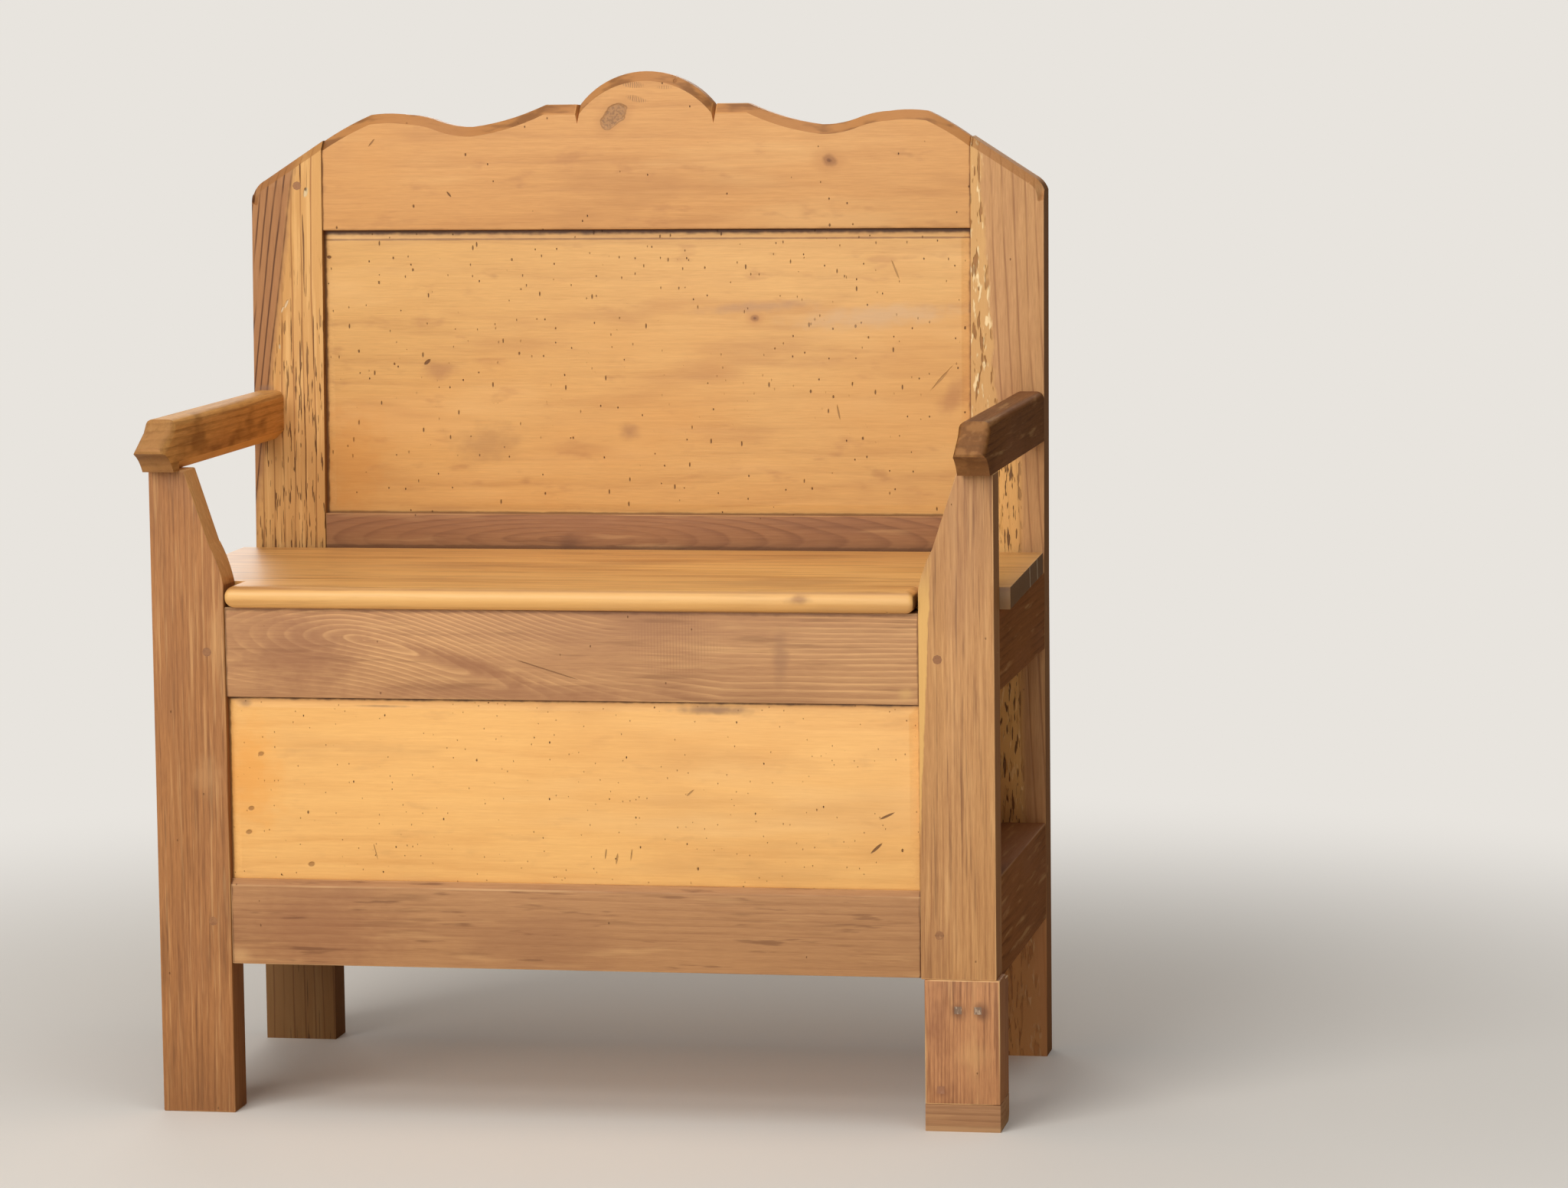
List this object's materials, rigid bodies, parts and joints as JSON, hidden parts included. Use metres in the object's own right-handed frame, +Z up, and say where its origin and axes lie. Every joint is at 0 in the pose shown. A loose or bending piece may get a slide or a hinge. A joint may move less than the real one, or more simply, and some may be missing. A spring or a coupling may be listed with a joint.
{
  "type": "settle bench",
  "caption": "Narrow joined wooden settle with a scalloped panelled back, open arms and a lift-up plank seat over a panelled chest on short legs.",
  "frame": {"origin": "centre of the whole bench's box, on the floor", "axes": "+Z up, -Y to the sitter's front, +X to the right as seen from the front"},
  "size_m": [0.84, 0.4715, 1.0003],
  "materials": {
    "honey_pine": "waxed satin",
    "rail_wood": "waxed satin",
    "upright_wood": "waxed satin, worn",
    "seat_wood": "waxed satin",
    "foot_wood": "dull",
    "inner_pine": "dry and unwaxed",
    "peg_wood": "dull",
    "dark_iron": "rusted dark"
  },
  "bodies": {
    "frame": {"arm_left": "upright_wood", "arm_right": "upright_wood", "back_low_rail": "rail_wood", "back_panel": "honey_pine", "back_pegs": "peg_wood", "chest_back_low_rail": "inner_pine", "chest_back_panel": "inner_pine", "chest_back_top_rail": "inner_pine", "crest_rail": "honey_pine", "floor_board_1": "inner_pine", "floor_board_2": "inner_pine", "floor_board_3": "inner_pine", "floor_board_4": "inner_pine", "floor_board_5": "inner_pine", "floor_ledger_back": "inner_pine", "floor_ledger_back_nails": "dark_iron", "floor_ledger_front": "inner_pine", "floor_ledger_front_nails": "dark_iron", "foot_nails": "dark_iron", "foot_sole": "foot_wood", "front_leg_left": "upright_wood", "front_leg_right": "upright_wood", "front_low_rail": "rail_wood", "front_panel": "honey_pine", "front_pegs": "peg_wood", "front_top_rail": "rail_wood", "hinge_pin_left": "dark_iron", "hinge_pin_right": "dark_iron", "leaning_pegs": "peg_wood", "rail_hinge_leaf_left": "dark_iron", "rail_hinge_leaf_right": "dark_iron", "rail_hinge_screws": "dark_iron", "rear_post_left": "upright_wood", "rear_post_right": "upright_wood", "side_board_left": "inner_pine", "side_board_nails_left": "dark_iron", "side_board_nails_right": "dark_iron", "side_board_right": "inner_pine", "side_low_rail_left": "rail_wood", "side_low_rail_right": "rail_wood", "side_pegs": "peg_wood", "side_top_rail_left": "rail_wood", "side_top_rail_right": "rail_wood", "spliced_foot": "foot_wood"},
    "lid": {"lid_batten_left": "inner_pine", "lid_batten_nails": "dark_iron", "lid_batten_right": "inner_pine", "lid_hinge_leaf_left": "dark_iron", "lid_hinge_leaf_right": "dark_iron", "lid_hinge_screws": "dark_iron", "seat_lid": "seat_wood"}
  },
  "joints": [
    {"name": "lid_hinge", "type": "hinge", "parent": "frame", "child": "lid", "pos_m": [0, 0.17943, 0.4907], "axis": [-1, 0, 0], "range_deg": [0, 19.5]}
  ]
}
